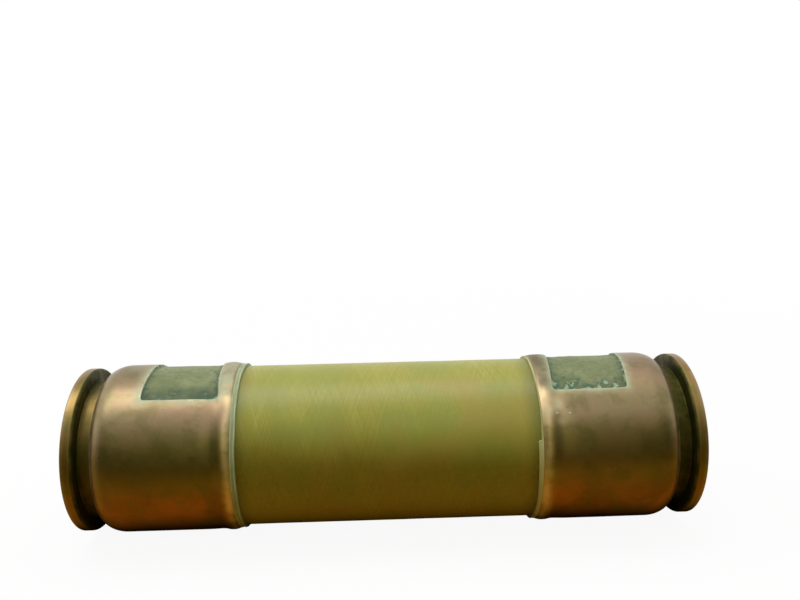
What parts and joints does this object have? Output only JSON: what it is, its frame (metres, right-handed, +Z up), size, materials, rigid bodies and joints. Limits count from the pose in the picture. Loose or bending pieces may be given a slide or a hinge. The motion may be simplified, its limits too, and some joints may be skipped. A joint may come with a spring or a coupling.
{
  "type": "cartridge fuse",
  "caption": "Cylindrical power fuse: glass-fibre tube, copper ferrules with solder windows, necked end rims, sand-packed ribbon core and a pop-out indicator.",
  "frame": {"origin": "middle of the fuse's axis, halfway between the two end faces", "axes": "+X along the fuse towards the end with the indicator, +Z up through the middle of the two solder windows"},
  "size_m": [0.2764, 0.077, 0.077],
  "materials": {
    "tube": "filament-wound glass and resin, satin, olive",
    "ferrule": "worn copper, rolled, with brown and green patina",
    "end_cap": "turned copper, tarnished brown in the groove",
    "tape": "glass tape with resin, grey-green",
    "strap": "tinned copper strip",
    "solder": "dull solder with green corrosion",
    "gasket": "vulcanised fibre",
    "contact_plate": "rolled copper",
    "core_board": "mica laminate",
    "element": "rolled silver strip",
    "overlay": "tin, dull",
    "sand": "packed quartz sand",
    "plug": "turned brass",
    "housing": "turned brass",
    "button": "red lacquer, satin",
    "clip": "spring steel",
    "spring": "drawn spring wire",
    "wire": "fine resistance wire",
    "bushing": "fired ceramic"
  },
  "bodies": {
    "fuse": {"tube": "tube", "ferrule_left": "ferrule", "ferrule_right": "ferrule", "end_cap_left": "end_cap", "end_cap_right": "end_cap", "tape_left": "tape", "tape_right": "tape", "strap_left": "strap", "strap_right": "strap", "solder_left": "solder", "solder_right": "solder", "gasket_left": "gasket", "gasket_right": "gasket", "contact_plate_left": "contact_plate", "contact_plate_right": "contact_plate", "core_board_a": "core_board", "core_board_b": "core_board", "core_board_c": "core_board", "element_1": "element", "element_2": "element", "element_3": "element", "element_4": "element", "element_5": "element", "element_6": "element", "overlay_spots": "overlay", "sand_fill": "sand", "fill_plug": "plug", "fill_washer": "gasket", "indicator_housing": "housing", "indicator_spring": "spring", "indicator_wire": "wire", "wire_bushing": "bushing", "wire_post": "plug"},
    "indicator": {"indicator_plunger": "button", "indicator_clip": "clip"}
  },
  "joints": [
    {"name": "indicator_pop", "type": "slide", "parent": "fuse", "child": "indicator", "axis": [1, 0, 0], "range_m": [0, 0.009], "deforming": ["indicator_spring"]}
  ]
}
